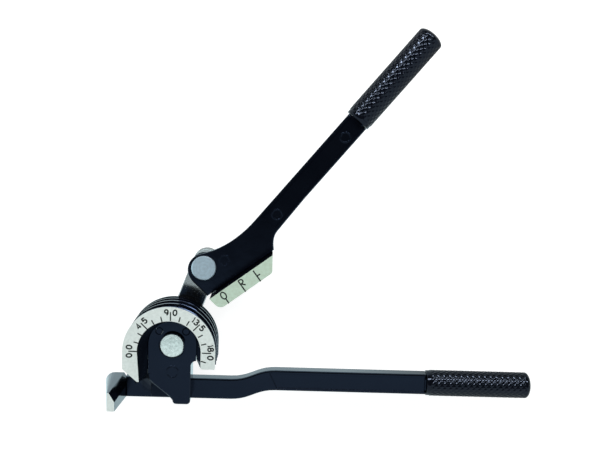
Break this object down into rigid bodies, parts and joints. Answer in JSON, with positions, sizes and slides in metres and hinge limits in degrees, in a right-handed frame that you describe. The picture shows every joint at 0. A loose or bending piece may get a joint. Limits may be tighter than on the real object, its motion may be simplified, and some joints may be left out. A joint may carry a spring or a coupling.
{
  "type": "lever tube bender",
  "caption": "Hand lever tube bender with a half-round grooved forming wheel, degree dial, hold-down jaw, and a swinging handle with a matching grooved shoe on a link.",
  "frame": {"origin": "on the axis of the forming wheel, in the plane on which the tool rests: the back end of the main pivot pin", "axes": "+Z along the wheel's axis towards the dial, +X along the lower handle towards its grip, +Y from the lower handle towards the wheel"},
  "size_m": [0.2985, 0.256, 0.0484],
  "materials": {
    "handle_paint": "gloss black paint with a blue cast over a die casting",
    "wheel_paint": "gloss black paint, bare machined dial face with black numbers",
    "shoe_paint": "gloss black paint, bare machined front face with three marks",
    "grip_plastic": "black moulded grip with a diamond knurl",
    "link_plating": "bright plated flat steel",
    "pin_steel": "faced off, satin",
    "dowel_steel": "painted over with the casting",
    "washer_steel": "zinc plated",
    "spring_steel": "blackened"
  },
  "bodies": {
    "lower": {"lower_handle": "handle_paint", "forming_wheel": "wheel_paint", "lower_grip": "grip_plastic", "main_pivot_pin": "pin_steel", "wheel_dowel_left": "dowel_steel", "wheel_dowel_right": "dowel_steel", "main_inner_washer": "washer_steel", "main_outer_washer": "washer_steel", "main_retaining_ring": "spring_steel"},
    "link": {"link_arm": "link_plating"},
    "upper": {"upper_handle": "handle_paint", "forming_shoe": "shoe_paint", "upper_grip": "grip_plastic", "upper_pivot_pin": "pin_steel", "upper_inner_washer": "washer_steel", "upper_outer_washer": "washer_steel", "upper_retaining_ring": "spring_steel", "shoe_screw_inner": "spring_steel", "shoe_screw_outer": "spring_steel"}
  },
  "joints": [
    {"name": "link_hinge", "type": "hinge", "parent": "lower", "child": "link", "pos_m": [0, 0, 0.0085], "axis": [0, 0, 1], "range_deg": [-69.3, 110.6]},
    {"name": "handle_hinge", "type": "hinge", "parent": "link", "child": "upper", "pos_m": [0.0201, 0.05334, 0.0085], "axis": [0, 0, 1], "range_deg": [-57.6, 90]}
  ]
}
